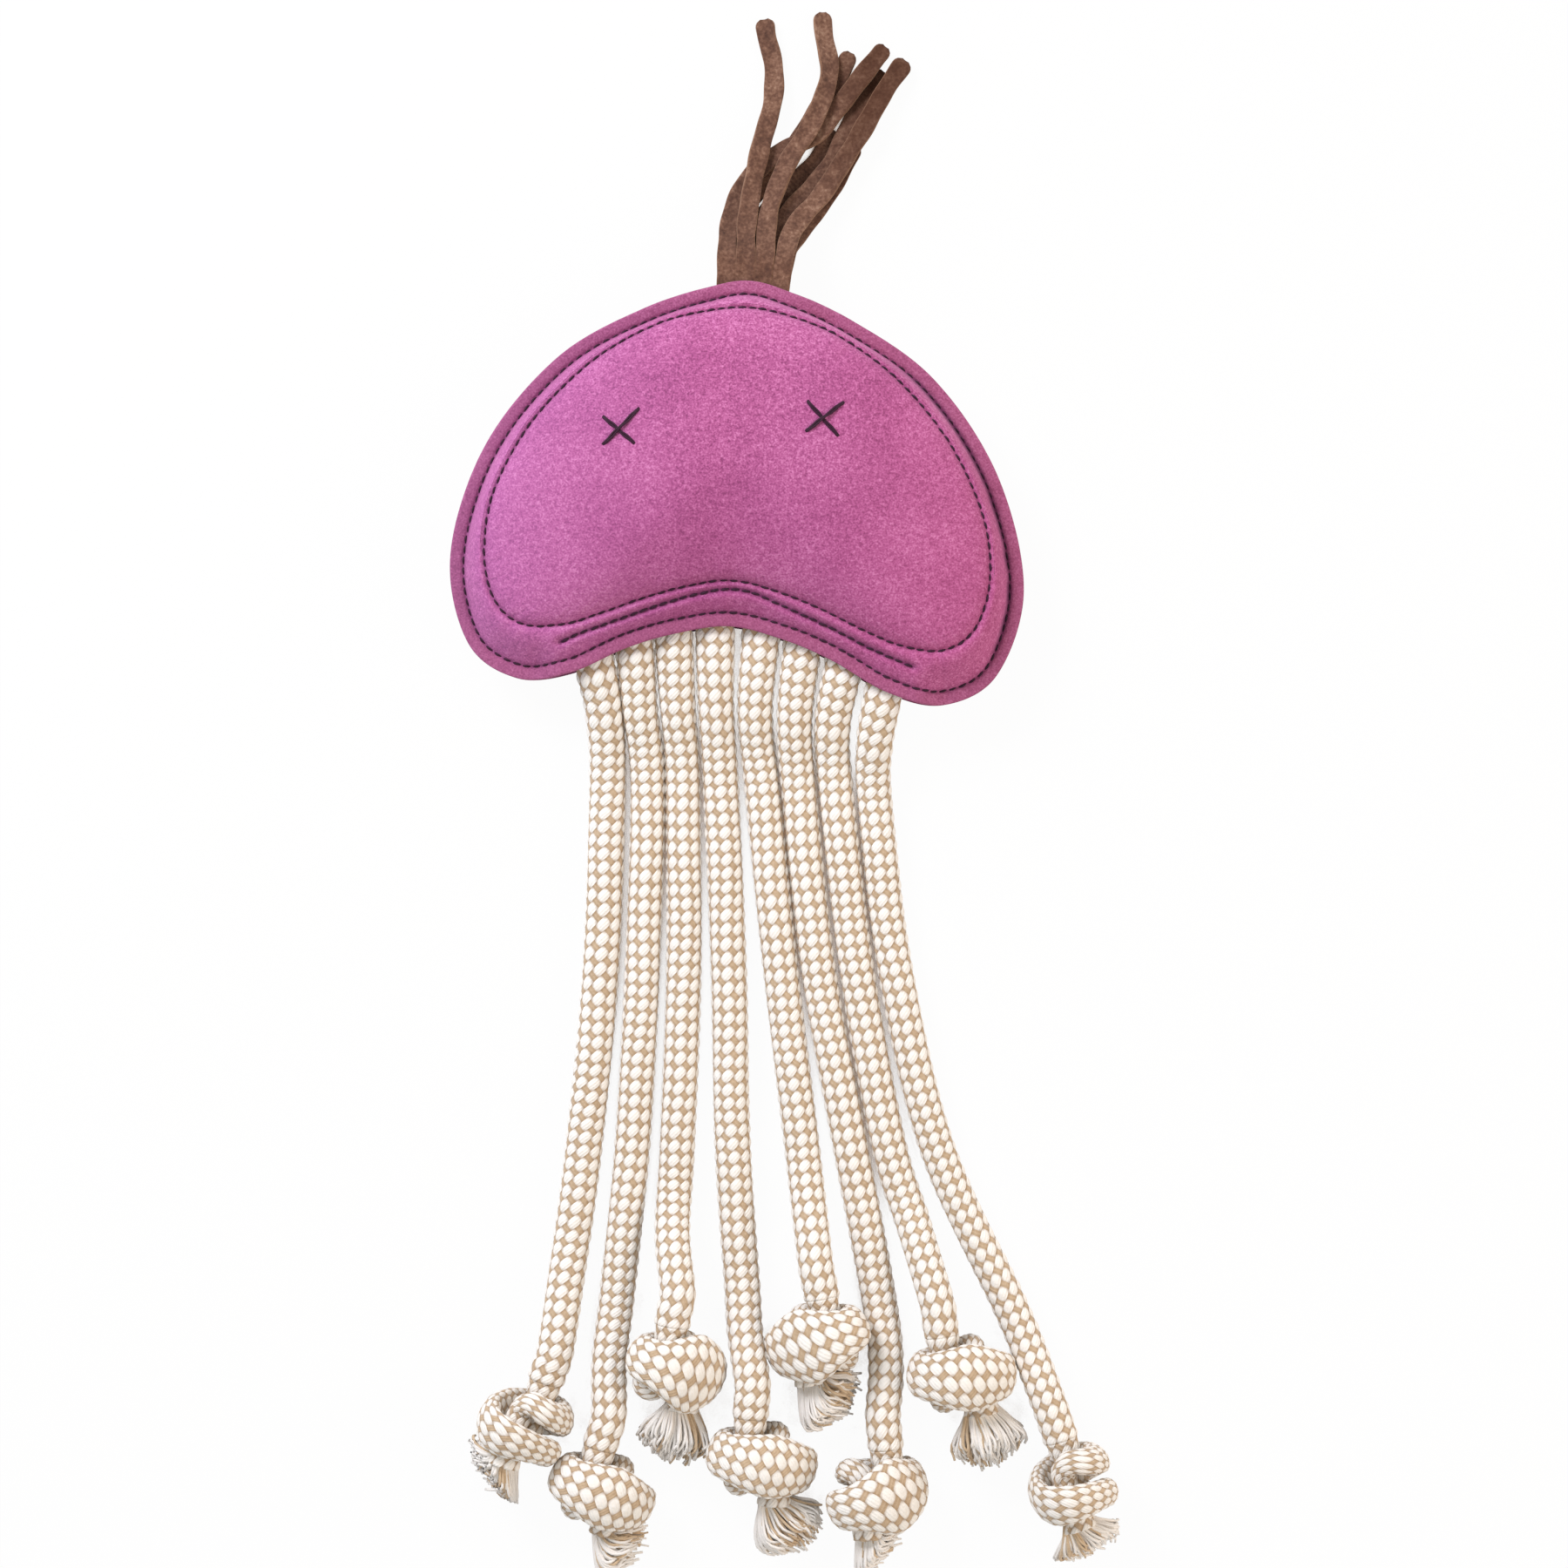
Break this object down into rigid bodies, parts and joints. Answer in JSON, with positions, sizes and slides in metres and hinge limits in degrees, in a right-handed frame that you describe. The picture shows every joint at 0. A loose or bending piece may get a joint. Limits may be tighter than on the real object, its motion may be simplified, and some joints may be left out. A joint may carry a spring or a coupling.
{
  "type": "stuffed suede jellyfish dog toy",
  "caption": "Flat stuffed suede jellyfish dog toy with cross-stitched eyes, braided rope tentacles ending in frayed overhand knots, and a suede fringe on top.",
  "frame": {"origin": "middle of the flat spot on the back of the head, on which the toy lies", "axes": "+Z out of the face and up, +Y from the rope arch to the fringe, +X to the viewer's right"},
  "size_m": [0.2081, 0.4579, 0.0359],
  "materials": {
    "magenta_suede": "napped magenta suede leather, matt",
    "brown_suede": "napped brown suede leather, matt",
    "cotton_rope": "braided cotton rope in white and beige strands",
    "plum_thread": "dark plum sewing thread",
    "fibre_filling": "white fibre filling, hidden"
  },
  "bodies": {
    "root": {"front_panel": "magenta_suede", "back_panel": "magenta_suede", "stuffing": "fibre_filling", "outer_seam_thread": "plum_thread", "outer_seam_bobbin": "plum_thread", "inner_seam_thread": "plum_thread", "inner_seam_bobbin": "plum_thread", "rope_seam_thread": "plum_thread", "rope_seam_bobbin": "plum_thread", "left_eye": "plum_thread", "right_eye": "plum_thread", "tassel_front": "brown_suede", "tassel_back": "brown_suede", "rope_1": "cotton_rope", "rope_2": "cotton_rope", "rope_3": "cotton_rope", "rope_4": "cotton_rope", "rope_5": "cotton_rope", "rope_6": "cotton_rope", "rope_7": "cotton_rope", "rope_8": "cotton_rope", "knot_1": "cotton_rope", "knot_2": "cotton_rope", "knot_3": "cotton_rope", "knot_4": "cotton_rope", "knot_5": "cotton_rope", "knot_6": "cotton_rope", "knot_7": "cotton_rope", "knot_8": "cotton_rope", "tuft_1": "cotton_rope", "tuft_2": "cotton_rope", "tuft_3": "cotton_rope", "tuft_4": "cotton_rope", "tuft_5": "cotton_rope", "tuft_6": "cotton_rope", "tuft_7": "cotton_rope", "tuft_8": "cotton_rope"}
  },
  "joints": []
}
